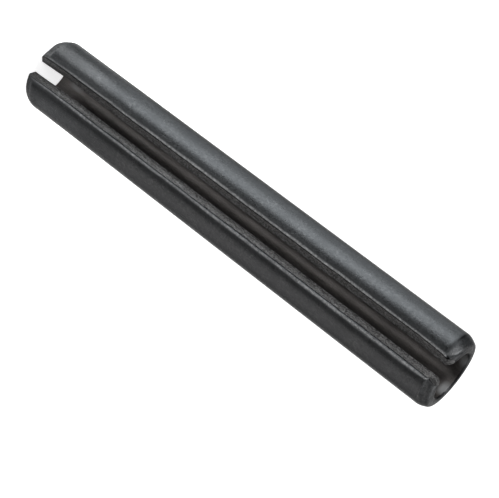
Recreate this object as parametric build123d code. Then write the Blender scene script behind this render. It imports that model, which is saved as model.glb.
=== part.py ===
from build123d import *
from math import atan, cos, degrees, hypot, radians, sin, sqrt, tan
import os

# Slotted spring pin: a strip of hardened spring steel rolled into a tube that stays open along
# one side. The pin stands on its end. Its axis is Z, its middle is the origin and its slot
# faces the front (-Y).

# Tube, in millimetres
pin_length = 44.45
outer_diameter = 6.70
wall_thickness = 1.22

# Slot between the two cut edges of the strip. It is a little wider at the top.
slot_width_inside = 1.05
cut_face_lean = 30.0
slot_taper = 0.15

# Long edges of the strip: rolled over outside by the shear, a small burr radius inside
roll_over_radius = 0.27
burr_radius = 0.06

# Ends: a bevel that runs into a rounded nose, and an eased mouth
bevel_length = 0.84
bevel_angle = 20.0
nose_radius = 0.35
mouth_bevel = 0.15

# Lips at the ends: drawn in by swaging, with their corners cut back
closing_length = 3.6
lip_closing = 0.1
corner_length = 0.42
corner_radius = 0.53

# Cutters run this far past the surfaces that they cut. Places closer than tiny count as one.
overrun = 0.2
tiny = 0.002

# Derived places
outer_radius = outer_diameter / 2
bore_radius = outer_radius - wall_thickness
half_length = pin_length / 2
inner_half_width = slot_width_inside / 2
inner_edge_depth = sqrt(bore_radius**2 - inner_half_width**2)
lean = radians(cut_face_lean)
taper_turn = degrees(atan(slot_taper / 2 / pin_length))

# The right-hand cut face before it is drawn in. Its local X runs up the pin, its local Y points
# into the slot and its local Z follows the face outwards through the wall.
cut_face = Plane(
    origin=(inner_half_width, -inner_edge_depth, 0),
    x_dir=(0, 0, 1),
    z_dir=(sin(lean), -cos(lean), 0),
)
tapered_face = cut_face * Rot(Z=-taper_turn)


def stock():
    """The rolled strip as a plain ring, a little longer than the pin."""
    ring = Circle(outer_radius) - Circle(bore_radius)
    return extrude(ring, half_length + wall_thickness, both=True)


def lip_line():
    """The upper half of a cut face seen square on: straight, then drawn in towards the end."""
    closing_start = half_length - closing_length
    halfway = half_length - closing_length / 2
    straight = Line((0, 0), (closing_start, 0))
    closing = Bezier((closing_start, 0), (halfway, 0), (halfway, lip_closing), (half_length, lip_closing))
    run_out = Line(closing @ 1, (half_length + outer_radius, lip_closing))
    return straight + closing + run_out


def slot_side():
    """All space on the slot's side of the right-hand cut face."""
    half_line = lip_line()
    end_x = half_length + outer_radius
    far_y = outer_diameter
    back = Polyline((end_x, lip_closing), (end_x, far_y), (-end_x, far_y), (-end_x, lip_closing))
    region = make_face(half_line + mirror(half_line, about=Plane.YZ) + back)
    return extrude(tapered_face * region, 2 * outer_diameter, both=True)


def slot():
    """The open V between the two cut faces."""
    one_side = slot_side()
    return one_side & mirror(one_side, about=Plane.YZ)


def long_edges(solid, radius):
    """The slot's edges that run along the wall at this distance from the pin's axis."""
    def beside_slot(edge):
        points = [edge @ 0, edge @ 0.5, edge @ 1]
        runs_along = abs(points[0].Z - points[2].Z) > overrun / 2
        on_wall = all(abs(hypot(p.X, p.Y) - radius) < tiny for p in points)
        in_slot = points[1].Y < 0 and abs(points[1].X) > inner_half_width / 4
        return runs_along and on_wall and in_slot
    return solid.edges().filter_by(beside_slot)


def end_cutters():
    """What swaging takes off both ends: bevel, nose, end face and mouth."""
    slope = tan(radians(bevel_angle))
    outline = Polyline(
        (outer_radius + overrun * slope, half_length - bevel_length - overrun),
        (outer_radius - bevel_length * slope, half_length),
        (bore_radius + mouth_bevel, half_length),
        (bore_radius - overrun, half_length - mouth_bevel - overrun),
        (0, half_length - mouth_bevel - overrun),
        (0, half_length + outer_radius),
        (outer_radius + overrun * slope, half_length + outer_radius),
        close=True,
    )
    region = make_face(outline)
    on_end_face = region.vertices().filter_by(lambda v: abs(v.Y - half_length) < tiny)
    region = fillet(on_end_face.sort_by(Axis.X)[-1], nose_radius)
    top = revolve(Plane.XZ * region, Axis.Z, 360)
    return top + mirror(top, about=Plane.XY)


def corner_cutters():
    """Rounds the strip's four corners, where its cut faces meet its ends."""
    start = (half_length - corner_length, lip_closing)
    stop = (half_length, lip_closing - corner_length)
    arc = RadiusArc(start, stop, corner_radius)
    lead_in = Line(arc @ 0 - (arc % 0) * overrun, arc @ 0)
    run_out = Line(arc @ 1, arc @ 1 + (arc % 1) * overrun)
    high = lead_in @ 0
    low = run_out @ 1
    clear_x = half_length + 2 * wall_thickness
    clear_y = lip_closing + wall_thickness / 2
    back = Polyline(low, (clear_x, low.Y), (clear_x, clear_y), (high.X, clear_y), high)
    top = make_face(lead_in + arc + run_out + back)
    both_ends = Sketch() + [top, mirror(top, about=Plane.YZ)]
    right = extrude(tapered_face * Pos(Z=-wall_thickness / 2) * both_ends, 2 * wall_thickness)
    return right + mirror(right, about=Plane.YZ)


def roll_pin():
    """The finished pin, open along the slot between its two cut faces."""
    pin = stock() - slot()
    pin = fillet(long_edges(pin, outer_radius), roll_over_radius)
    pin = fillet(long_edges(pin, bore_radius), burr_radius)
    return pin - end_cutters() - corner_cutters()


os.makedirs("parts", exist_ok=True)
export_step(roll_pin(), "parts/roll_pin.step")
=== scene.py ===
"""Looks of a slotted spring pin: spring steel strip, rolled into an open tube and blacked with oxide.

The pin stands on its end. Its axis is Z and its slot faces the front (-Y). Sizes come from the
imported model, and the finer ones are properties of the pin. All lengths are in metres.
"""

import math

import bmesh
import bpy
import numpy as np
from bpy.props import FloatProperty, FloatVectorProperty, PointerProperty
from mathutils import Matrix, Vector, noise


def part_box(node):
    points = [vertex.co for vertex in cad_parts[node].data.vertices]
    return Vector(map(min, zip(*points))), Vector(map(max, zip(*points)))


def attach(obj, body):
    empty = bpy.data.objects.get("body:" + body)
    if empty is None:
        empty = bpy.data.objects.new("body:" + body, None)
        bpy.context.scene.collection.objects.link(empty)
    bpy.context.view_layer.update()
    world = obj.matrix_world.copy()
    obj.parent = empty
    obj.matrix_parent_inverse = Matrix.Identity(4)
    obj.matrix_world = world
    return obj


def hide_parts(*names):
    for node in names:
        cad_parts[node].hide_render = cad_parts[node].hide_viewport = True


bl_info = {
    "name": "Slotted Spring Pin",
    "version": (1, 0, 0),
    "blender": (4, 5, 0),
    "location": "3D View > Sidebar > Spring Pin",
    "description": "Rolls, shears and blacks a slotted spring pin, and sets up its studio",
    "category": "Object",
}

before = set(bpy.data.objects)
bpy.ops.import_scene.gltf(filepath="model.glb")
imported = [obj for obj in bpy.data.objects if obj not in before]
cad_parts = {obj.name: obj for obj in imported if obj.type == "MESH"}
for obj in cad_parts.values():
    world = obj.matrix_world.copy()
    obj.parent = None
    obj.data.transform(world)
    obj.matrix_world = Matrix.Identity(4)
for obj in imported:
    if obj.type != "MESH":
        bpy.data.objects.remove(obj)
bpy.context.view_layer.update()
pin_low, pin_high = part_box("roll_pin")

MM = 0.001

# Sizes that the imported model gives
OUTER_RADIUS = (pin_high.x - pin_low.x) / 2
HALF_LENGTH = (pin_high.z - pin_low.z) / 2
FLOOR_HEIGHT = pin_low.z

# Mesh steps around half of the section and along the pin
WALL_STEPS = 52
ROLL_OVER_STEPS = 7
CUT_STEPS = 13
BURR_STEPS = 3
LENGTH_STEPS = 236
BEVEL_STEPS = 8
NOSE_STEPS = 9
END_FACE_STEPS = 3

# Rings on both sides of a crease lie this far from it
CRISP = 0.03 * MM

# Steps on a cut face from its outside to its inside, closer together outside
CUT_PLACES = np.linspace(0, 1, CUT_STEPS + 1) ** 1.6

# Points nearer to each other than this are joined where the end faces close
JOIN_REACH = 1e-7

# The ends fall off towards the lips between these angles from the front, down to this depth
FALL_START = math.radians(12)
FALL_STOP = math.radians(46)
FALL_DEPTH = 1.5 * MM
FOOT_FALL_STOP = math.radians(52)
FOOT_FALL_SPREAD = math.radians(22)

# The wide nose on the right ends at this angle from the front, and fades over this one, in radians
NOSE_STOP = math.radians(68)
NOSE_FADE = 0.6

# A lip's corner is this share of a quarter circle, and a mouth is this many times as deep as wide
CORNER_BULGE = 0.94
MOUTH_DEPTH = 1.6

# The lips wander in long and in short waves
LONG_WANDER = 3.1 * MM
SHORT_WANDER = 0.9 * MM

# The roll-over swells by this share, in waves of this length
SWELLING = 0.2
SWELLING_WAVE = 1.7 * MM

# The sheared band is this share of a cut face, and wavers by this much in waves of this length.
# The tear is fully deep this much further on.
SHEARED_BAND = 0.06
BAND_WAVER = 0.04
BAND_WAVE = 1.3 * MM
TEAR_START = 0.08

# Grain of the torn part: fine and coarse along the pin, and across the strip
FINE_TEAR = 0.3 * MM
COARSE_TEAR = 1.1 * MM
TEAR_ACROSS = 0.42 * MM

# The relief of a cut face fades over this share of it at its edges, and over this depth at its ends
LEVEL_EDGE = 0.07
LEVEL_END = 0.3 * MM

# Waves of the wall's ripple around the pin and along it
RIPPLES_AROUND = 2.2
RIPPLE_LENGTH = 9 * MM

# The slot turns more and more towards the foot
TWIST_POWER = 2.5

# Material slots of the pin's mesh
COAT, SHEARED, BORE = range(3)

# Sockets of a Mix node that mixes colours
MIX_SHARE, MIX_FIRST, MIX_SECOND, MIX_RESULT = 0, 6, 7, 2

# Half the width of the floor, and the camera's sensor in millimetres
FLOOR_REACH = 0.6
SENSOR_WIDTH = 36

WHITE = (1, 1, 1)


def length(name, description, default):
    """A property that holds a length in metres."""
    return FloatProperty(name=name, description=description, default=default, unit="LENGTH", precision=5)


def share(name, description, default):
    """A property that holds a share from 0 to 1."""
    return FloatProperty(name=name, description=description, default=default, min=0, max=1, subtype="FACTOR")


def angle(name, description, degrees):
    """A property that holds an angle."""
    return FloatProperty(name=name, description=description, default=math.radians(degrees), subtype="ANGLE")


def brightness(name, description, default):
    """A property that holds the brightness of a lamp's face."""
    return FloatProperty(name=name, description=description, default=default, min=0)


def colour(name, description, default):
    """A property that holds a linear colour."""
    return FloatVectorProperty(
        name=name, description=description, default=default, size=3, min=0, max=1, subtype="COLOR"
    )


class PinShape(bpy.types.PropertyGroup):
    """Sizes of the rolled strip, its slot and its swaged ends."""

    wall: length("Strip thickness", "Thickness of the steel strip", 1.22 * MM)
    slot_inside: length("Slot inside", "Width of the slot at the bore", 1.05 * MM)
    lean: angle("Cut face lean", "Angle between a cut face and the middle plane of the slot", 30)
    taper: length("Slot taper", "How much wider the slot is at the top than at the foot", 0.13 * MM)
    twist: angle("Twist", "Turn of the slot about the axis, from the top to the foot", 1.9)

    roll_over: length("Roll-over radius", "Rounding that the shear leaves on the lips outside", 0.27 * MM)
    roll_growth: length("Roll-over growth", "How much the right roll-over grows to the top", 0.09 * MM)
    left_shrink: length("Left shrink", "How much smaller the left roll-over is at the top", 0.07 * MM)
    right_shrink: length("Right shrink", "How much the right roll-over shrinks at its end", 0.05 * MM)
    burr: length("Burr radius", "Rounding of the lips towards the bore", 0.06 * MM)
    easing: length("Edge easing", "Rounding of the lips' edges on the bevels", 0.04 * MM)

    bevel: length("Bevel length", "Length of the bevel at the top", 0.9 * MM)
    foot_bevel: length("Foot bevel length", "Length of the bevel at the foot", 0.82 * MM)
    bevel_angle: angle("Bevel angle", "Slope of the bevel to the axis", 20)
    bevel_bulge: length("Bevel bulge", "How far the bevels bulge in their middle", 0.035 * MM)
    off_centre: length("Top off centre", "How far to the right the top bevel is off centre", 0.035 * MM)
    nose: length("Nose radius", "Rounding between the bevel and the end face", 0.35 * MM)
    right_nose: length("Right nose", "How much further down the right nose reaches", 0.35 * MM)
    mouth: length("Mouth bevel", "Easing between the end face and the bore at the top", 0.07 * MM)
    foot_mouth: length("Foot mouth bevel", "Easing between the foot's face and the bore", 0.02 * MM)
    crown: length("End face crown", "How far an end face stands proud of its edges", 0.012 * MM)

    closing: length("Drawn-in length", "Length over which the lips are drawn in at each end", 3.6 * MM)
    draw: length("Drawn in by", "How far each lip is drawn into the slot at its ends", 0.1 * MM)
    uneven_draw: length("Uneven by", "How much less the right lip is drawn in at the foot", 0.19 * MM)
    uneven_top: length("Uneven at the top", "How much less the right lip is drawn in at the top", 0.08 * MM)
    left_corner: length("Left corner", "How far the left top corner is cut back", 0.5 * MM)
    right_corner: length("Right corner", "How far the right top corner is cut back", 0.4 * MM)
    foot_corner: length("Foot corners", "How far the lips' corners are cut back at the foot", 0.03 * MM)
    left_fall: length("Left fall", "How far the top falls off towards the left lip", 0.24 * MM)
    right_fall: length("Right fall", "How far the top falls off towards the right lip", 0.1 * MM)
    foot_fall: length("Foot fall", "How far the foot falls off towards the left lip", 0.2 * MM)

    wander: length("Lip wander", "How far the lips wander from a straight line", 0.024 * MM)
    break_step: length("Break step", "How far the tear lies behind the sheared band", 0.03 * MM)
    tear: length("Tear depth", "Depth of the torn grain on the cut faces", 0.035 * MM)
    ripple: length("Wall ripple", "Depth of the shallow waves that rolling leaves", 0.012 * MM)


class PinFinish(bpy.types.PropertyGroup):
    """Colours and gloss of the oxide coat and of the steel that shows through it."""

    coat: colour("Oxide coat", "Black oxide on the outer wall", (0.018, 0.0188, 0.0196))
    coat_thin: colour("Thin oxide", "Oxide where it is thinner", (0.034, 0.0348, 0.0356))
    coat_edge: colour("Glancing oxide", "Share of the glancing reflection that is kept", (0.485,) * 3)
    # This steel colour is also what the painted highlights on ridges, edges and bevels mix towards.
    rubbed: colour("Rubbed steel", "Steel that shows on rubbed edges", (0.22, 0.223, 0.226))
    sheared: colour("Sheared steel", "Oxide on the torn cut faces", (0.175, 0.173, 0.173))
    bore: colour("Bore", "Brownish oxide in the bore", (0.086, 0.08, 0.077))
    coat_roughness: share("Coat roughness", "Roughness of the oxide on the outer wall", 0.31)
    satin: share("Satin", "How far the coat's gloss is drawn out along the pin", 0.75)
    bore_roughness: share("Bore roughness", "Roughness of the oxide in the bore", 0.3)
    sheared_roughness: share("Cut roughness", "Roughness of the cut faces", 0.6)


class Studio(bpy.types.PropertyGroup):
    """Floor, soft lamps and camera."""

    floor: colour("Floor", "Colour of the floor", (0.75, 0.75, 0.75))
    ambient: share("Ambient light", "Light from all around", 0.15)
    floor_lift: share("Floor lift", "Share of plain white in the floor as a picture sees it", 0.8)
    key_colour: colour("Key colour", "Colour of the key lamp and the rim lamp", (0.945, 0.98, 1.0))
    side_colour: colour("Side colour", "Colour of the side lamp", (1.0, 0.94, 0.912))
    key_radiance: brightness("Key brightness", "Brightness of the key lamp's face", 9.2)
    rim_radiance: brightness("Rim brightness", "Brightness of the rim lamp's face", 4.8)
    side_radiance: brightness("Side brightness", "Brightness of the side lamp's face", 1.95)
    foot_radiance: brightness("Foot brightness", "Brightness of the left foot lamp's face", 5.0)
    end_radiance: brightness("End brightness", "Brightness of the end lamp's face", 6.5)
    front_radiance: brightness("Front brightness", "Brightness of the front lamp's face", 6.0)
    top_radiance: brightness("Top brightness", "Brightness of the top lamp's face", 1.4)
    lens: FloatProperty(name="Lens", description="Focal length in millimetres", default=104.8)
    distance: length("Camera distance", "From the camera to its target", 119.33 * MM)
    azimuth: angle("Camera azimuth", "From the front towards the right", -4.11)
    elevation: angle("Camera elevation", "Above the horizontal", 20.81)
    roll: angle("Camera roll", "Turn of the camera about its line of sight", 127.5)
    target: FloatVectorProperty(
        name="Target",
        description="Point that the camera looks at",
        default=(1.81 * MM, 0.77 * MM, 2.32 * MM),
        size=3,
        unit="LENGTH",
    )


def wave(position, period, seed):
    """Smooth noise from -1 to 1 along a line of positions."""
    values = [noise.noise(Vector((place / period, seed, 0.5))) for place in np.ravel(position)]
    return np.array(values).reshape(np.shape(position))


def eased(x):
    """0 to 1 with level ends."""
    x = np.clip(x, 0, 1)
    return x * x * (3 - 2 * x)


def rising(value, start, over):
    """0 up to the start, and rising to 1 over this length."""
    return eased((value - start) / over)


def fading(value, start, over):
    """1 up to the start, and fading to 0 over this length."""
    return eased(1 - (value - start) / over)


def mark(value, place, width):
    """A soft mark: 1 at its place, and gone two widths away."""
    return np.exp(-(((value - place) / width) ** 2))


def front_angle(plane):
    """Angle of a point from the front of the pin."""
    return np.arctan2(plane[..., 0], -plane[..., 1])


def corner_drop(drop, cut):
    """How far a lip's corner is cut back at this depth below its end, as a bulging curve."""
    x = CORNER_BULGE * np.clip(1 - drop / cut, 0, 1)
    return cut * (1 - np.sqrt(1 - x**2)) / (1 - math.sqrt(1 - CORNER_BULGE**2))


class Lip:
    """One lip of the slot: where its cut face lies at any height.

    side is 1 on the right and -1 on the left. Both lips are worked out on the right.
    """

    def __init__(self, shape, side):
        self.shape = shape
        self.side = side
        half_width = shape.slot_inside / 2
        bore = OUTER_RADIUS - shape.wall
        self.start = np.array([half_width, -math.sqrt(bore**2 - half_width**2)])
        self.outwards = np.array([math.sin(shape.lean), -math.cos(shape.lean)])
        self.into_slot = np.array([-math.cos(shape.lean), -math.sin(shape.lean)])

    def shift(self, height):
        """How far the cut face is moved into the slot at a height."""
        shape = self.shape
        drop = HALF_LENGTH - np.abs(height)
        less = np.where(height < 0, shape.uneven_draw, shape.uneven_top) * (self.side > 0)
        drawn = (shape.draw - less) * fading(drop, start=0, over=shape.closing)
        taper = shape.taper / 2 * height / (2 * HALF_LENGTH)
        top_corner = shape.right_corner if self.side > 0 else shape.left_corner
        top_cut = corner_drop(drop, top_corner)
        foot_cut = corner_drop(drop, shape.foot_corner)
        seed = 3.1 * self.side
        wander = wave(height, LONG_WANDER, seed) + 0.5 * wave(height, SHORT_WANDER, seed + 1)
        return drawn - taper - np.where(height > 0, top_cut, foot_cut) + shape.wander * wander

    def wide_nose(self, plane, height):
        """How much further down the right-hand nose reaches at the top, most a third down the bevel."""
        if self.side < 0:
            return 0
        drop = np.clip((HALF_LENGTH - height) / self.shape.bevel, 0, 1)
        hump = 27 / 4 * drop * (1 - drop) ** 2
        outside = np.hypot(plane[..., 0], plane[..., 1]) > OUTER_RADIUS - self.shape.wall / 2
        beside_slot = eased((NOSE_STOP - front_angle(plane)) / NOSE_FADE)
        return self.shape.right_nose * outside * hump * beside_slot

    def fall(self, plane, height):
        """How far the ends fall off towards the lip: most beside the slot, nothing well below the end."""
        shape = self.shape
        azimuth = front_angle(plane)
        radius = np.hypot(plane[..., 0], plane[..., 1])
        outside = np.clip((radius - OUTER_RADIUS) / shape.wall + 1, 0, 1)
        top = np.clip((FALL_STOP - azimuth) / (FALL_STOP - FALL_START), 0, 1) ** 2
        foot = eased((FOOT_FALL_STOP - azimuth) / FOOT_FALL_SPREAD) * outside
        top = top * (shape.right_fall if self.side > 0 else shape.left_fall)
        foot = foot * (0 if self.side > 0 else shape.foot_fall)
        at_end = fading(HALF_LENGTH - np.abs(height), start=0, over=FALL_DEPTH)
        return np.where(height > 0, top, -foot) * at_end

    def roll_over(self, height):
        """Radius of the roll-over at each ring: uneven along the pin, and fading on the noses."""
        shape = self.shape
        drop = HALF_LENGTH - np.abs(height)
        towards_top = eased(height / HALF_LENGTH)
        if self.side > 0:
            growth = towards_top * rising(drop, start=shape.bevel, over=3 * MM)
            shrink = fading(drop, start=0, over=3.5 * MM) * (height > 0)
            full = shape.roll_over + shape.roll_growth * growth - shape.right_shrink * shrink
        else:
            full = shape.roll_over - shape.left_shrink * towards_top
        swelling = 1 + SWELLING * wave(height, SWELLING_WAVE, 7.7 * self.side)
        fade = rising(drop, start=0.3 * shape.nose, over=shape.nose)
        return shape.easing + (full * swelling - shape.easing) * fade

    def arc_centre(self, radius, shift, rounding):
        """Centre of an arc that touches the cut face and, from inside, a circle of this radius."""
        base = self.start + self.into_slot * (shift - rounding)[:, None]
        along = base @ self.outwards
        reach = np.sqrt(along**2 - (base**2).sum(1) + (radius - rounding) ** 2) - along
        return base + self.outwards * reach[:, None]


def end_paths(shape, bevel_length, mouth_bevel):
    """The outer and inner paths over an end, as depths below the end and radii, from wall to end face."""
    corner_radius = OUTER_RADIUS - bevel_length * math.tan(shape.bevel_angle)
    turn = math.pi / 2 - shape.bevel_angle
    tangent = shape.nose * math.tan(turn / 2)
    bore = OUTER_RADIUS - shape.wall
    face_outside = corner_radius - tangent
    face_inside = bore + mouth_bevel
    meeting = (face_outside + face_inside) / 2
    crown = shape.crown * np.linspace(1, 0, END_FACE_STEPS + 1)[1:] ** 2

    # Outside: a slightly bulging bevel, the nose and the end face
    bevel_start = np.array([bevel_length, OUTER_RADIUS])
    arc_depth = shape.crown + tangent * math.cos(shape.bevel_angle)
    arc_start = np.array([arc_depth, corner_radius + tangent * math.sin(shape.bevel_angle)])
    t = np.concatenate([[0], np.linspace(CRISP / bevel_length, 1, BEVEL_STEPS - 1)])[:, None]
    bulge = shape.bevel_bulge * np.sin(math.pi * t) * [0, 1]
    bevel = bevel_start * (1 - t) + arc_start * t + bulge
    angles = np.linspace(0, turn, NOSE_STEPS + 1)[1:] + shape.bevel_angle
    centre = np.array([shape.crown + shape.nose, face_outside])
    nose = centre + shape.nose * np.stack([-np.sin(angles), np.cos(angles)], 1)
    face = np.linspace(face_outside, meeting, END_FACE_STEPS + 1)[1:]
    outer = np.vstack([bevel, nose, np.stack([crown, face], 1)])

    # Inside: the bore, the eased mouth and the end face
    mouth_depth = MOUTH_DEPTH * mouth_bevel
    wall_depth = np.linspace(bevel_length, shape.crown + mouth_depth, BEVEL_STEPS)
    wall = np.stack([wall_depth, np.full(BEVEL_STEPS, bore)], 1)
    t = np.linspace(0, 1, NOSE_STEPS + 1)[1:]
    rise = rising(t, start=0.2, over=0.8)
    mouth = np.stack([shape.crown + mouth_depth * (1 - t), bore + mouth_bevel * rise], 1)
    face = np.linspace(face_inside, meeting, END_FACE_STEPS + 1)[1:]
    inner = np.vstack([wall, mouth, np.stack([crown, face], 1)])
    return outer, inner


def ring_table(shape):
    """Height and radius of the outer and of the inner wall for every ring, from the foot to the top."""
    outer_top, inner_top = end_paths(shape, shape.bevel, shape.mouth)
    outer_foot, inner_foot = end_paths(shape, shape.foot_bevel, shape.foot_mouth)
    start = shape.foot_bevel - HALF_LENGTH
    stop = HALF_LENGTH - shape.bevel
    steps = np.linspace(start, stop, LENGTH_STEPS + 1)[1:-1]
    heights = np.concatenate([[start + CRISP], steps, [stop - CRISP]])
    bore = OUTER_RADIUS - shape.wall

    def both_ends(top_path, foot_path, radius):
        top = np.stack([HALF_LENGTH - top_path[:, 0], top_path[:, 1]], 1)
        foot = np.stack([foot_path[:, 0] - HALF_LENGTH, foot_path[:, 1]], 1)[::-1]
        middle = np.stack([heights, np.full(len(heights), radius)], 1)
        return np.vstack([foot, middle, top])

    return both_ends(outer_top, outer_foot, OUTER_RADIUS), both_ends(inner_top, inner_foot, bore)


def arcs(centre, radius, start, stop, steps):
    """One arc for every ring, as rings x steps x 2. Angles go from the back (+Y) to the right."""
    t = np.linspace(0, 1, steps + 1)[None, :]
    turned = start[:, None] * (1 - t) + stop[:, None] * t
    x = centre[:, 0, None] + radius[:, None] * np.sin(turned)
    y = centre[:, 1, None] + radius[:, None] * np.cos(turned)
    return np.stack([x, y], 2)


def half_section(shape, lip, outer, inner):
    """Points of half of every ring, from the back of the outer wall round the lip to the back of the bore.

    Gives the points as rings x steps x 3.
    """
    spread = np.clip((outer[:, 1] - inner[:, 1]) / shape.wall, 0, 1)
    burr = shape.burr * spread
    roll_over = lip.roll_over(outer[:, 0]) * spread

    # Roll-over outside: an arc that touches the outer wall and the cut face
    outer_centre = lip.arc_centre(outer[:, 1], lip.shift(outer[:, 0]), roll_over)
    wall_angle = np.arctan2(outer_centre[:, 0], outer_centre[:, 1])

    # Burr inside: an arc that touches the bore and the cut face
    inner_centre = lip.arc_centre(inner[:, 1] + 2 * burr, lip.shift(inner[:, 0]), burr)
    lip_angle = np.arctan2(inner_centre[:, 0], inner_centre[:, 1])
    bore_angle = np.arctan2(-inner_centre[:, 0], -inner_centre[:, 1]) % (2 * math.pi)

    none = np.zeros((len(outer), 2))
    back = np.zeros(len(outer))
    face_angle = back + math.atan2(lip.into_slot[0], lip.into_slot[1]) % (2 * math.pi)
    wall_arc = arcs(none, outer[:, 1], back, wall_angle, WALL_STEPS)
    roll_arc = arcs(outer_centre, roll_over, wall_angle, face_angle, ROLL_OVER_STEPS)
    burr_arc = arcs(inner_centre, burr, face_angle, bore_angle, BURR_STEPS)
    bore_arc = arcs(none, inner[:, 1], lip_angle, back, WALL_STEPS)

    # Cut face between the two arcs
    t = CUT_PLACES[None, :, None]
    cut_height = outer[:, 0, None] * (1 - t[..., 0]) + inner[:, 0, None] * t[..., 0]
    relief = cut_relief(shape, lip, cut_height)
    cut = roll_arc[:, -1:] * (1 - t) + burr_arc[:, :1] * t - lip.into_slot * relief[..., None]

    plane = np.concatenate([wall_arc, roll_arc[:, 1:-1], cut, burr_arc[:, 1:-1], bore_arc], 1)
    outer_height = np.repeat(outer[:, :1], WALL_STEPS + ROLL_OVER_STEPS, 1)
    inner_height = np.repeat(inner[:, :1], WALL_STEPS + BURR_STEPS, 1)
    height = np.concatenate([outer_height, cut_height, inner_height], 1)
    height = height - lip.fall(plane, height) - lip.wide_nose(plane, height)
    points = np.concatenate([plane, height[..., None]], 2)
    points[..., 0] *= lip.side
    return points


def cut_relief(shape, lip, height):
    """How far the cut face lies behind its plane: sheared smooth outside, then torn back."""
    seed = 11.3 * lip.side
    relief = np.zeros(height.shape)
    for i, row in enumerate(height):
        waver = noise.noise(Vector((row[0] / BAND_WAVE, seed, 0)))
        band = SHEARED_BAND + BAND_WAVER * waver
        for j, depth in enumerate(CUT_PLACES):
            across = depth * shape.wall / TEAR_ACROSS
            fine = noise.noise(Vector((row[j] / FINE_TEAR, across, seed)))
            coarse = noise.noise(Vector((row[j] / COARSE_TEAR, across / 3, seed + 5)))
            rough = 0.5 + 0.35 * fine + 0.3 * coarse
            torn = shape.break_step + shape.tear * rough
            smooth = 0.15 * shape.tear * (0.5 + fine / 2)
            relief[i, j] = rising(depth, band, TEAR_START) * torn + smooth
    level_edges = np.clip(np.minimum(CUT_PLACES, 1 - CUT_PLACES) / LEVEL_EDGE, 0, 1)
    below_crown = HALF_LENGTH - np.abs(height) - shape.crown
    return relief * level_edges * rising(below_crown, start=0, over=LEVEL_END)


def wall_ripple(shape, points):
    """Pulls the outer wall in by shallow waves that run along the pin."""
    around = np.arctan2(points[..., 0], points[..., 1])
    depth = np.zeros(around.shape)
    for place in np.ndindex(around.shape):
        x = RIPPLES_AROUND * math.sin(around[place])
        y = RIPPLES_AROUND * math.cos(around[place])
        depth[place] = 0.5 + 0.5 * noise.noise(Vector((x, y, points[place][2] / RIPPLE_LENGTH)))
    fade = rising(HALF_LENGTH - np.abs(points[..., 2]), start=0, over=2 * shape.bevel)
    radius = np.hypot(points[..., 0], points[..., 1])
    points[..., :2] *= (1 - shape.ripple * depth * fade / radius)[..., None]


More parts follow.
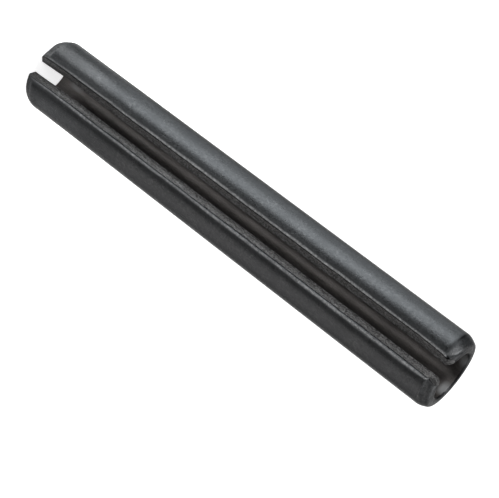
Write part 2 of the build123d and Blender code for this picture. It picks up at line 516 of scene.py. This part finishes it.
class LipWearAndPaintedLight:
    """Rubbing and painted light of half of every ring: 1 is rubbed to bright steel and painted highlight, -1
    is heavy dark oxide and painted shade.

    Each part of the half ring has a method that gives rings x steps, in the order of its points.
    """

    def __init__(self, shape, lip, outer, inner):
        self.shape = shape
        self.side = lip.side
        self.right = lip.side > 0
        self.height = outer[:, :1]
        self.at_top = self.height > 0
        self.drop = HALF_LENGTH - np.abs(self.height)
        self.bore_drop = HALF_LENGTH - np.abs(inner[:, :1])

        # Stretches of the pin's length. down is 0 at the top and 1 at the foot.
        self.down = 0.5 - self.height / (2 * HALF_LENGTH)
        self.upper_half = fading(self.down, start=0, over=0.5)
        self.below_middle = rising(self.down, start=0.45, over=0.15)
        self.at_foot = fading(self.height + HALF_LENGTH, start=0, over=7 * MM)

        # Steps of the outer wall. own rises where a lip's own marks begin.
        self.towards_lip = np.linspace(0, 1, WALL_STEPS + 1)[None, :]
        self.near_lip = self.towards_lip**6
        self.own = rising(self.towards_lip, start=0.15, over=0.3)

    def uneven(self, period, seed):
        """Smooth noise from -1 to 1 along this lip."""
        return wave(self.height, period, seed * self.side)

    def whole(self):
        """Rubbing and painted light and shade of the whole half ring."""
        return np.concatenate([self.wall(), self.roll_over(), self.cut(), self.bore()], 1)

    def wall(self):
        """Outer wall, from the back to the lip: rubbed steel, painted highlights and painted shade."""
        bevel = self.bevel()
        lead_in = 0.04 * mark(self.drop, place=self.shape.bevel + 0.15 * MM, width=0.12 * MM)
        # Lighter places: the rubbed end face and bevel, the painted highlight on the nose's ridge, and a
        # faint band just before the bevel.
        rubbed = np.maximum(self.nose(), np.maximum(bevel, lead_in))
        # Darker places: painted shade in the crease, under the ridge and beside the lip.
        dark = self.crease() + self.under_ridge() + self.beside_lip()
        # Plus a painted highlight on the wall at the foot.
        return rubbed + np.minimum(bevel, 0) - dark + self.foot_gleam()

    def ridge_place(self):
        """Depth at which the bevel turns into the end face."""
        return self.shape.nose * (0.3 + 1.2 * self.towards_lip**16)

    def nose(self):
        """Painted highlight on the ridge between the bevel and the end face, and the rubbed end face."""
        nose = self.shape.nose
        ridge = mark(self.drop, self.ridge_place(), width=0.15 * nose) * (0.06 + 0.28 * self.near_lip)
        end_face = 0.17
        if self.right:
            wide = 0.14 * mark(self.drop, place=0.3 * MM, width=0.2 * MM) * self.at_top
            ridge = ridge * (1 - 0.7 * self.own) + wide * self.own
            end_face = end_face + 0.05 * self.own
        return np.maximum(ridge, end_face * mark(self.drop, place=0, width=0.3 * nose))

    def under_ridge(self):
        """Painted shade: a dark line on the nose of the left lip, outside its ridge."""
        if self.right:
            return 0
        nose = self.shape.nose
        line = mark(self.drop, self.ridge_place() - 0.4 * nose, width=0.15 * nose)
        return 0.3 * line * self.near_lip * self.at_top

    def bevel(self):
        """Bevel: rubbed, lighter beside the left lip and most at the foot as a painted highlight, and with
        painted shade beside the left lip at the top.
        """
        on_bevel = self.drop < self.shape.bevel
        if self.right:
            rubbed = (0.03 + 0.14 * (self.drop / self.shape.bevel) ** 2) * self.own
            return np.where(on_bevel, rubbed, 0)
        rubbed = np.where(on_bevel, (0.21 - 0.11 * self.at_top) * self.near_lip, 0)
        shaded = 0.4 * mark(self.towards_lip, place=0.7, width=0.08) * self.at_top
        return rubbed - np.where(on_bevel & (self.drop > self.shape.nose), shaded, 0)

    def crease(self):
        """Painted shade in the crease between the wall and the bevel at the top, deepest on the bevel beside
        the left lip.
        """
        crease = mark(self.drop, place=self.shape.bevel - CRISP, width=0.14 * MM)
        if self.right:
            return 0.05 * crease * self.at_top
        deep = mark(self.drop, place=self.shape.bevel - 0.14 * MM, width=0.1 * MM)
        deep = 0.45 * deep * mark(self.towards_lip, place=0.78, width=0.07)
        return ((0.05 + 0.45 * self.own) * crease + deep) * self.at_top

    def beside_lip(self):
        """Painted shade: a dark line on the wall beside the lip, uneven on the right."""
        if self.right:
            place = 0.974 + 0.005 * self.uneven(1.1 * MM, 9.9)
            strength = 0.47 * (1 + 0.45 * self.uneven(0.6 * MM, 8.8))
            line = strength * mark(self.towards_lip, place, width=0.019)
        else:
            line = 0.36 * mark(self.towards_lip, place=0.961, width=0.021)
        return np.where(self.drop > self.shape.bevel, line, 0)

    def foot_gleam(self):
        """Painted highlight: a lighter band on the wall at the foot."""
        reach, strength, place = (3 * MM, 0.08, 0.83) if self.right else (1.8 * MM, 0.05, 0.86)
        near_foot = fading(self.drop, start=0.6 * reach, over=reach) * (1 - self.at_top)
        return strength * mark(self.towards_lip, place, width=0.08) * near_foot

    def notch(self):
        """Painted shade: a dark notch in which the roll-over's bright line ends at the top."""
        nose = self.shape.nose
        place, width = (0.5 * nose, 0.3 * nose) if self.right else (nose, 0.38 * nose)
        return mark(self.drop, place, width) * self.at_top

    def brightness(self):
        """How brightly the roll-over's line shows along the pin: rubbed steel, partly a painted highlight.
        """
        shape, nose = self.shape, self.shape.nose
        bright = (0.64 if self.right else 0.85) + 0.35 * self.uneven(6 * MM, 2.2)
        bright = bright * (0.6 + 0.4 * fading(self.down, start=0.75, over=0.25))
        if self.right:
            at_end = fading(self.drop, start=shape.bevel, over=1.4 * MM) * self.at_top
            bright = bright * (1 + 0.3 * self.upper_half - 0.4 * at_end)
            bright = bright * rising(self.drop, start=0, over=0.6 * nose)
            tip = np.where(self.at_top, 1, rising(self.drop, start=0, over=1.8 * MM))
            bright = bright * (1 - 0.25 * self.at_foot) * (1 - 0.1 * self.below_middle)
            return bright * (0.3 + 0.7 * tip)
        lower_half = rising(self.down, start=0.5, over=0.5)
        bright = bright * (1 - 0.45 * lower_half + 0.15 * self.upper_half)
        return bright * rising(self.drop, start=0.3 * nose, over=nose)

    def roll_over(self):
        """Roll-over: a bright line of rubbed steel and painted highlight, and a dark line of painted shade
        towards the cut face.
        """
        across = np.linspace(0, 1, ROLL_OVER_STEPS + 1)[1:-1]
        inwards = 1.05
        below = 0.6
        if self.right:
            inwards = 0.86 + 0.14 * self.down + 0.8 * self.at_foot
            below = 1.1 * (1 - self.at_foot) * (1 - 0.5 * self.upper_half)
        bright_line = np.sin(math.pi * across**inwards) ** 2 * self.brightness()
        return bright_line - 1.8 * self.notch() - below * mark(across, place=0.9, width=0.16)

    def cut(self):
        """Cut face: painted shade along the step where the sheared band ends, beside its edges and lower
        down, and a lip made duller towards the ends by painted shade.
        """
        shape, drop, at_top = self.shape, self.drop, self.at_top
        depth = CUT_PLACES[None, :]
        band_end = 0.03 + 0.05 * self.uneven(0.6 * MM, 5.5)
        painted_step_shade = 0.9 + 0.3 * self.uneven(0.8 * MM, 4.4)
        if self.right:
            painted_step_shade = painted_step_shade * (1 - self.at_foot) * (1 - 0.5 * self.upper_half)
            painted_step_shade = painted_step_shade * (1 - 0.4 * self.below_middle)
            inside_edge = 0.15 * mark(depth, place=1, width=0.14)
            shadow = 0.35 * mark(depth, place=0.2, width=0.16)
            last_stretch = 0.3 * fading(self.height + HALF_LENGTH, start=0, over=5 * MM)
            lower_down = 0.28 * rising(self.down, start=0.55, over=0.3)
            dark = inside_edge + shadow + last_stretch + lower_down
            near_top, at_tip = 0.35, 0.5
        else:
            bare_edge = 0.12 * mark(depth, place=1, width=0.06)
            corner = mark(depth, place=1, width=0.3) * fading(drop, start=0.12 * MM, over=0.4 * MM)
            inside_half = 0.5 * self.at_foot * mark(depth, place=1, width=0.5)
            outside_edge = 0.15 * mark(depth, place=0.1, width=0.3)
            lower_down = 0.4 * rising(self.down, start=0.6, over=0.3)
            dark = lower_down - bare_edge + 0.35 * corner * at_top + inside_half + outside_edge
            near_top, at_tip = 0.2, 0.2
        dark = dark + painted_step_shade * mark(depth, band_end, width=0.08)
        dark = dark + near_top * fading(drop, start=shape.nose, over=0.8 * MM) * at_top
        dark = dark + at_tip * fading(drop, start=0.15 * MM, over=0.5 * MM) * at_top
        return -dark - 0.9 * self.notch() * mark(depth, place=0, width=0.25)

    def bore(self):
        """Bore: painted shade at the ends, lower down and deeper in each mouth, with a painted lit patch
        inside each mouth and another at the back near the foot.
        """
        drop, at_top = self.bore_drop, self.at_top
        towards_back = np.linspace(0, 1, WALL_STEPS + BURR_STEPS)[None, :]
        place, width = (0.79, 0.15) if self.right else (0.72, 0.16)
        lit = mark(towards_back, place, width)
        deeper = 0.5 * mark(towards_back, place=1, width=0.12)

        near_ends = 0.2 * fading(drop, start=0.8 * MM, over=4 * MM)
        in_mouth = 0.4 * fading(drop, start=0.64 * MM, over=1.6 * MM) * at_top
        lower_down = 0.35 * rising(-self.height, start=3 * MM, over=13 * MM)
        painted_bore_shade = near_ends + in_mouth + lower_down

        mouth = self.shape.mouth
        inside = fading(drop, start=0.375 * MM, over=0.75 * MM) * at_top
        inside = inside * (0.4 + 0.6 * rising(drop, start=mouth, over=mouth))
        worn_and_painted_light = inside * (1.15 * lit - deeper) - painted_bore_shade * (1 - inside * lit)

        # A painted lit patch at the back of the bore near the foot.
        foot_patch = mark(drop, place=1.8 * MM, width=1.1 * MM) * (1 - at_top)
        foot_patch = foot_patch * mark(towards_back, place=1, width=0.06)
        return worn_and_painted_light * (1 - foot_patch) + 0.5 * foot_patch


def turned_slot(shape, loops):
    """Turns the rings about the axis, more and more towards the foot, and moves the top bevel off centre."""
    down = 0.5 - loops[..., 2] / (2 * HALF_LENGTH)
    turn = shape.twist * down**TWIST_POWER
    x, y = loops[..., 0].copy(), loops[..., 1].copy()
    on_bevel = np.clip(1 - (HALF_LENGTH - loops[..., 2]) / shape.bevel, 0, 1)
    loops[..., 0] = x * np.cos(turn) - y * np.sin(turn) + shape.off_centre * on_bevel
    loops[..., 1] = x * np.sin(turn) + y * np.cos(turn)


def face_slots(rings):
    """Material slot of every face, ring by ring."""
    steps = [WALL_STEPS + ROLL_OVER_STEPS, CUT_STEPS + BURR_STEPS, WALL_STEPS]
    half = np.repeat([COAT, SHEARED, BORE], steps)
    slots = np.tile(np.concatenate([half, half[::-1]]), (rings - 1, 1))
    mouth = NOSE_STEPS + END_FACE_STEPS
    for rows in (slots[:mouth], slots[-mouth:]):
        rows[rows == BORE] = COAT
    return slots


def pin_mesh(shape):
    """The rolled pin as one closed mesh, with its rubbed places and its painted light and shade."""
    outer, inner = ring_table(shape)
    halves = []
    for side in (1, -1):
        lip = Lip(shape, side)
        points = half_section(shape, lip, outer, inner)
        wall_ripple(shape, points[:, : WALL_STEPS + 1])
        halves.append((points, LipWearAndPaintedLight(shape, lip, outer, inner).whole()))
    right, left = halves
    loops = np.concatenate([right[0], left[0][:, -2:0:-1]], 1)
    worn_and_painted_light = np.concatenate([right[1], left[1][:, -2:0:-1]], 1)
    turned_slot(shape, loops)

    rings, steps = worn_and_painted_light.shape
    numbers = np.arange(rings * steps).reshape(rings, steps)
    here, along = numbers[:-1], numbers[1:]
    quads = np.stack([here, np.roll(here, -1, 1), np.roll(along, -1, 1), along], 2).reshape(-1, 4)

    mesh = bpy.data.meshes.new("roll_pin_strip")
    mesh.from_pydata(loops.reshape(-1, 3), [], quads[:, ::-1])
    mesh.polygons.foreach_set("material_index", face_slots(rings).ravel())
    # Rubbed places and painted light and shade, from -1 to 1, for the materials.
    wear_and_painted_light = mesh.attributes.new("wear_and_painted_light", "FLOAT", "POINT")
    wear_and_painted_light.data.foreach_set("value", worn_and_painted_light.ravel().astype(np.float32))
    close_ends(mesh, steps)
    mesh.polygons.foreach_set("use_smooth", np.ones(len(mesh.polygons), bool))
    return mesh


def close_ends(mesh, steps):
    """Joins the two edges that meet in the middle of each end face, the first and the last ring."""
    work = bmesh.new()
    work.from_mesh(mesh)
    work.verts.ensure_lookup_table()
    at_ends = work.verts[:steps] + work.verts[-steps:]
    bmesh.ops.remove_doubles(work, verts=at_ends, dist=JOIN_REACH)
    bmesh.ops.dissolve_degenerate(work, edges=work.edges, dist=JOIN_REACH / 10)
    bmesh.ops.recalc_face_normals(work, faces=work.faces)
    work.to_mesh(mesh)
    work.free()


def opaque(rgb):
    """A colour with full alpha."""
    return (*rgb, 1.0)


class Nodes:
    """A short way to write a material's nodes."""

    def __init__(self, name, metal, edge):
        self.material = bpy.data.materials.new(name)
        self.material.use_nodes = True
        self.tree = self.material.node_tree
        self.shader = self.tree.nodes["Principled BSDF"]
        self.shader.inputs["Metallic"].default_value = metal
        self.shader.inputs["Specular Tint"].default_value = opaque(edge)
        place = self.tree.nodes.new("ShaderNodeTexCoord")
        scale = self.tree.nodes.new("ShaderNodeMapping")
        scale.inputs["Scale"].default_value = (1 / MM, 1 / MM, 1 / MM)
        self.tree.links.new(place.outputs["Object"], scale.inputs["Vector"])
        self.millimetres = scale.outputs["Vector"]

    def put(self, value, socket):
        """Links an output to a socket, or writes a plain value on it."""
        if isinstance(value, bpy.types.NodeSocket):
            self.tree.links.new(value, socket)
        else:
            socket.default_value = value

    def grain(self, grains_per_mm, stretch=(1, 1, 1), detail=3, roughness=0.6):
        """Noise from 0 to 1 with this many grains a millimetre."""
        squeeze = self.tree.nodes.new("ShaderNodeMapping")
        squeeze.inputs["Scale"].default_value = stretch
        self.put(self.millimetres, squeeze.inputs["Vector"])
        node = self.tree.nodes.new("ShaderNodeTexNoise")
        self.put(squeeze.outputs["Vector"], node.inputs["Vector"])
        node.inputs["Scale"].default_value = grains_per_mm
        node.inputs["Detail"].default_value = detail
        node.inputs["Roughness"].default_value = roughness
        return node.outputs["Fac"]

    def spread(self, value, low, high, to_low=0.0, to_high=1.0):
        """Stretches the range low to high of a value."""
        node = self.tree.nodes.new("ShaderNodeMapRange")
        for name, x in (("From Min", low), ("From Max", high), ("To Min", to_low), ("To Max", to_high)):
            node.inputs[name].default_value = x
        self.put(value, node.inputs["Value"])
        return node.outputs["Result"]

    def speckle(self, grains_per_mm, low, high):
        """Crisp fine grain from low to high."""
        return self.spread(self.grain(grains_per_mm, detail=2, roughness=0.7), 0.38, 0.62, low, high)

    def mix(self, amount, first, second):
        """A colour between two colours."""
        node = self.tree.nodes.new("ShaderNodeMix")
        node.data_type = "RGBA"
        self.put(amount, node.inputs[MIX_SHARE])
        self.put(first, node.inputs[MIX_FIRST])
        self.put(second, node.inputs[MIX_SECOND])
        return node.outputs[MIX_RESULT]

    def maths(self, operation, first, second):
        """One sum of two values."""
        node = self.tree.nodes.new("ShaderNodeMath")
        node.operation = operation
        self.put(first, node.inputs[0])
        self.put(second, node.inputs[1])
        return node.outputs[0]

    def wear_and_painted_light(self, low, high, to_low, to_high):
        """How rubbed or darkened a place is, painted light and shade included, with the range low to high
        stretched.
        """
        node = self.tree.nodes.new("ShaderNodeAttribute")
        node.attribute_name = "wear_and_painted_light"
        return self.spread(node.outputs["Fac"], low, high, to_low, to_high)

    def worn_and_painted_light(self, face, rubbed, patches):
        """The colour of a face: lighter where it is rubbed to steel and where a highlight is painted, in
        patches, and darker where its oxide is heavy and where shade is painted.
        """
        bright = self.wear_and_painted_light(0, 1, 0, 1)
        # Darker towards black: heavy oxide and painted shade.
        darkened = self.wear_and_painted_light(-1, 0, 0.85, 0)
        lighter = self.mix(self.maths("MULTIPLY", bright, patches), face, opaque(rubbed))
        return self.mix(darkened, lighter, (0, 0, 0, 1))

    def bump(self, height, depth, strength=1.0):
        """Gives the shader a relief of this depth in metres."""
        node = self.tree.nodes.new("ShaderNodeBump")
        node.inputs["Distance"].default_value = depth
        node.inputs["Strength"].default_value = strength
        self.put(height, node.inputs["Height"])
        self.put(node.outputs["Normal"], self.shader.inputs["Normal"])


def oxide_coat(finish):
    """Satin black oxide with a mottled grain, rubbed to steel on its edges, with painted highlights and
    painted shade.
    """
    nodes = Nodes("oxide_coat", 1.0, finish.coat_edge)
    mottle = nodes.spread(nodes.grain(4.2, detail=4), 0.35, 0.7)
    cloud = nodes.spread(nodes.grain(0.8, stretch=(1, 1, 0.7)), 0.35, 0.65)
    clouded = nodes.mix(cloud, opaque((0.2, 0.2, 0.2)), mottle)
    thinness = nodes.maths("MULTIPLY", clouded, nodes.speckle(8.5, 0.4, 1.0))
    coat = nodes.mix(thinness, opaque(finish.coat), opaque(finish.coat_thin))

    patches = nodes.spread(nodes.grain(2.6, stretch=(1, 1, 0.5)), 0.3, 0.6, 0.6, 1.1)
    scratched = nodes.maths("MULTIPLY", patches, nodes.speckle(8, 0.45, 1.2))
    nodes.put(nodes.worn_and_painted_light(coat, finish.rubbed, scratched), nodes.shader.inputs["Base Color"])

    smoothest = finish.coat_roughness - 0.07
    roughest = finish.coat_roughness + 0.09
    rough = nodes.spread(nodes.grain(3.1), 0.3, 0.7, smoothest, roughest)
    nodes.put(rough, nodes.shader.inputs["Roughness"])
    nodes.shader.inputs["Anisotropic"].default_value = finish.satin
    nodes.shader.inputs["Anisotropic Rotation"].default_value = 0.25

    pitted = nodes.grain(7.0, detail=4, roughness=0.7)
    tumbled = nodes.maths("MULTIPLY", nodes.grain(9.0, stretch=(0.3, 0.3, 1), detail=2), 0.8)
    nodes.bump(nodes.maths("ADD", pitted, tumbled), 0.02 * MM, 0.8)
    return nodes.material


def sheared_steel(finish):
    """Cut faces of the strip: torn across the thickness, with a grey grain and painted shade."""
    nodes = Nodes("sheared_steel", 0.3, finish.coat_edge)
    dark = opaque(0.1 * x for x in finish.sheared)
    light = opaque(1.8 * x for x in finish.sheared)
    torn = nodes.spread(nodes.grain(3.0, stretch=(1, 1, 0.6), detail=4), 0.3, 0.7)
    grey = nodes.mix(torn, opaque(finish.sheared), light)
    face = nodes.mix(nodes.speckle(9, 0, 1), dark, grey)
    patches = nodes.spread(nodes.grain(2.6), 0.3, 0.6, 0.5, 1.0)
    nodes.put(nodes.worn_and_painted_light(face, finish.rubbed, patches), nodes.shader.inputs["Base Color"])
    nodes.shader.inputs["Roughness"].default_value = finish.sheared_roughness
    nodes.bump(nodes.grain(7.0, stretch=(1, 1, 0.8), detail=3, roughness=0.7), 0.035 * MM)
    return nodes.material


def bore_oxide(finish):
    """Brownish, duller oxide in the bore, with marks of rolling along it, painted lit patches and painted
    shade.
    """
    nodes = Nodes("bore_oxide", 0.65, finish.coat_edge)
    light = opaque(1.7 * x for x in finish.bore)
    # Colour of the painted lit patches in the bore.
    lit = tuple(1.25 * x for x in finish.rubbed)
    streak = nodes.spread(nodes.grain(2.4, stretch=(1, 1, 0.15)), 0.3, 0.7)
    thinness = nodes.maths("MULTIPLY", streak, nodes.speckle(8.5, 0.5, 1.2))
    face = nodes.mix(thinness, opaque(finish.bore), light)
    nodes.put(nodes.worn_and_painted_light(face, lit, 1.0), nodes.shader.inputs["Base Color"])
    nodes.put(nodes.wear_and_painted_light(0, 1, 0.65, 0.25), nodes.shader.inputs["Metallic"])
    nodes.shader.inputs["Roughness"].default_value = finish.bore_roughness
    nodes.bump(nodes.grain(4.0, stretch=(1, 1, 0.3)), 0.014 * MM, 0.6)
    return nodes.material


class SPRINGPIN_OT_roll_pin(bpy.types.Operator):
    """Rolls the strip into the pin and gives it its oxide coat"""

    bl_idname = "springpin.roll_pin"
    bl_label = "Rolled Pin"

    def execute(self, context):
        scene = context.scene
        pin = bpy.data.objects.new("roll_pin_body", pin_mesh(scene.pin_shape))
        scene.collection.objects.link(pin)
        for make in (oxide_coat, sheared_steel, bore_oxide):
            pin.data.materials.append(make(scene.pin_finish))
        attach(pin, "root")
        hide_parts("roll_pin")
        return {"FINISHED"}


def seen_directly(tree, value, otherwise=0.0):
    """This value for the picture, for gloss and for glass, and another one for all other light."""
    path = tree.nodes.new("ShaderNodeLightPath")
    seen = path.outputs["Is Camera Ray"]
    for name in ("Is Glossy Ray", "Is Transmission Ray"):
        either = tree.nodes.new("ShaderNodeMath")
        either.operation = "MAXIMUM"
        tree.links.new(seen, either.inputs[0])
        tree.links.new(path.outputs[name], either.inputs[1])
        seen = either.outputs[0]
    pick = tree.nodes.new("ShaderNodeMapRange")
    pick.inputs["To Min"].default_value = otherwise
    pick.inputs["To Max"].default_value = value
    tree.links.new(seen, pick.inputs["Value"])
    return pick.outputs["Result"]


def floor_material(studio):
    """Pale floor that keeps the pin's shadow and is lifted to white where the picture sees it."""
    material = bpy.data.materials.new("pale_floor")
    material.use_nodes = True
    tree = material.node_tree
    tree.nodes.clear()
    matt = tree.nodes.new("ShaderNodeBsdfDiffuse")
    matt.inputs["Color"].default_value = opaque(studio.floor)
    lift = tree.nodes.new("ShaderNodeEmission")
    tree.links.new(seen_directly(tree, studio.floor_lift), lift.inputs["Strength"])
    both = tree.nodes.new("ShaderNodeAddShader")
    out = tree.nodes.new("ShaderNodeOutputMaterial")
    tree.links.new(matt.outputs[0], both.inputs[0])
    tree.links.new(lift.outputs[0], both.inputs[1])
    tree.links.new(both.outputs[0], out.inputs["Surface"])
    return material


def add_floor(scene):
    """A floor far wider than the picture."""
    reach = FLOOR_REACH
    corners = [(-reach, -reach), (reach, -reach), (reach, reach), (-reach, reach)]
    mesh = bpy.data.meshes.new("floor")
    mesh.from_pydata([(x, y, FLOOR_HEIGHT) for x, y in corners], [], [(0, 1, 2, 3)])
    mesh.materials.append(floor_material(scene.studio))
    floor = bpy.data.objects.new("floor", mesh)
    scene.collection.objects.link(floor)


def add_world(scene):
    """Even light from all around, white where it is seen."""
    world = bpy.data.worlds.new("studio_light")
    world.use_nodes = True
    tree = world.node_tree
    background = tree.nodes["Background"]
    background.inputs["Color"].default_value = opaque(WHITE)
    strength = seen_directly(tree, 1.0, scene.studio.ambient)
    tree.links.new(strength, background.inputs["Strength"])
    scene.world = world


def add_lamp(scene, name, place, aim, size, radiance, tint=WHITE, tilt=0):
    """A soft rectangular lamp whose face has this brightness, tilted in its own plane by degrees."""
    lamp = bpy.data.lights.new(name, "AREA")
    lamp.shape = "RECTANGLE"
    lamp.size, lamp.size_y = size
    lamp.energy = radiance * math.pi * size[0] * size[1]
    lamp.color = tint
    holder = bpy.data.objects.new(name, lamp)
    line = Vector(aim) - Vector(place)
    upright = line.to_track_quat("-Z", "Y").to_matrix().to_4x4()
    tilted = upright @ Matrix.Rotation(math.radians(tilt), 4, "Z")
    holder.matrix_world = Matrix.Translation(Vector(place)) @ tilted
    holder.visible_camera = False
    scene.collection.objects.link(holder)


def add_tall_lamp(scene, name, radiance, tint, degrees, away, width, tilt=0):
    """A lamp as tall as the pin, upright beside it, at this angle from the front towards the left."""
    turn = math.radians(degrees)
    middle = (FLOOR_HEIGHT + HALF_LENGTH) / 2
    place = Vector((-math.sin(turn) * away, -math.cos(turn) * away, middle))
    size = (width, HALF_LENGTH - FLOOR_HEIGHT)
    add_lamp(scene, name, place, (0, 0, middle), size, radiance, tint, tilt)


def add_lamps(scene):
    """Tall lamps beside the pin, small ones at its ends, and two large ones further away."""
    studio = scene.studio
    cool, warm = studio.key_colour, studio.side_colour
    add_tall_lamp(scene, "key_lamp", studio.key_radiance, cool, 75.2, away=14 * MM, width=7.9 * MM, tilt=4)
    add_tall_lamp(scene, "rim_lamp", studio.rim_radiance, cool, 111, away=15 * MM, width=9 * MM, tilt=4)
    add_tall_lamp(scene, "side_lamp", studio.side_radiance, warm, -92, away=18 * MM, width=17.5 * MM)

    foot = Vector((0, 0, FLOOR_HEIGHT + 2.5 * MM))
    left_of_foot = foot + Vector((-5.6 * MM, -3 * MM, 0))
    right_of_foot = foot + Vector((6.6 * MM, -0.8 * MM, 0))
    left_size = (3.8 * MM, 5 * MM)
    right_size = (5 * MM, 5 * MM)
    add_lamp(scene, "left_foot_lamp", left_of_foot, foot, left_size, studio.foot_radiance)
    add_lamp(scene, "right_foot_lamp", right_of_foot, foot, right_size, studio.foot_radiance / 4)

    end = Vector((0, 0, HALF_LENGTH))
    above_end = end + Vector((-27 * MM, -9.8 * MM, 20 * MM))
    add_lamp(scene, "end_lamp", above_end, end, (20 * MM, 20 * MM), studio.end_radiance)

    in_front = (-45 * MM, -110 * MM, 50 * MM)
    add_lamp(scene, "front_lamp", in_front, (0, 0, 0), (50 * MM, 50 * MM), studio.front_radiance)

    behind = 280 * MM
    overhead = (0, behind, 360 * MM)
    add_lamp(scene, "top_lamp", overhead, (0, behind, 0), (600 * MM, 500 * MM), studio.top_radiance)


def add_camera(scene):
    """The camera that sees the pin as the picture does."""
    studio = scene.studio
    data = bpy.data.cameras.new("camera")
    data.sensor_width = SENSOR_WIDTH
    data.lens = studio.lens
    data.clip_start = 1 * MM
    camera = bpy.data.objects.new("camera", data)
    level = math.cos(studio.elevation)
    to_right = level * math.sin(studio.azimuth)
    to_front = level * math.cos(studio.azimuth)
    away = Vector((to_right, -to_front, math.sin(studio.elevation)))
    upright = away.to_track_quat("Z", "Y").to_matrix().to_4x4()
    place = Matrix.Translation(Vector(studio.target) + studio.distance * away)
    camera.matrix_world = place @ upright @ Matrix.Rotation(studio.roll, 4, "Z")
    scene.collection.objects.link(camera)
    scene.camera = camera


class SPRINGPIN_OT_studio(bpy.types.Operator):
    """Adds the pale floor, the soft lamps and the camera"""

    bl_idname = "springpin.studio"
    bl_label = "Studio"

    def execute(self, context):
        scene = context.scene
        add_floor(scene)
        add_world(scene)
        add_lamps(scene)
        add_camera(scene)
        scene.view_settings.view_transform = "Standard"
        return {"FINISHED"}


class SPRINGPIN_PT_sidebar(bpy.types.Panel):
    """Sizes, colours and pieces of the spring pin"""

    bl_idname = "SPRINGPIN_PT_sidebar"
    bl_label = "Spring Pin"
    bl_space_type = "VIEW_3D"
    bl_region_type = "UI"
    bl_category = "Spring Pin"

    def draw(self, context):
        scene = context.scene
        for title, group, operator in (
            ("Shape", scene.pin_shape, None),
            ("Finish", scene.pin_finish, SPRINGPIN_OT_roll_pin),
            ("Studio", scene.studio, SPRINGPIN_OT_studio),
        ):
            box = self.layout.box()
            box.label(text=title)
            for name in group.__annotations__:
                box.prop(group, name)
            if operator:
                box.operator(operator.bl_idname)


CLASSES = (
    PinShape,
    PinFinish,
    Studio,
    SPRINGPIN_OT_roll_pin,
    SPRINGPIN_OT_studio,
    SPRINGPIN_PT_sidebar,
)


def register():
    """Adds the classes, and the scene's own properties."""
    for kind in CLASSES:
        bpy.utils.register_class(kind)
    bpy.types.Scene.pin_shape = PointerProperty(type=PinShape)
    bpy.types.Scene.pin_finish = PointerProperty(type=PinFinish)
    bpy.types.Scene.studio = PointerProperty(type=Studio)


def unregister():
    """Takes them out again."""
    del bpy.types.Scene.studio
    del bpy.types.Scene.pin_finish
    del bpy.types.Scene.pin_shape
    for kind in reversed(CLASSES):
        bpy.utils.unregister_class(kind)


def main():
    """Makes the pin and its studio."""
    register()
    bpy.ops.springpin.roll_pin()
    bpy.ops.springpin.studio()


if __name__ == "__main__":
    main()
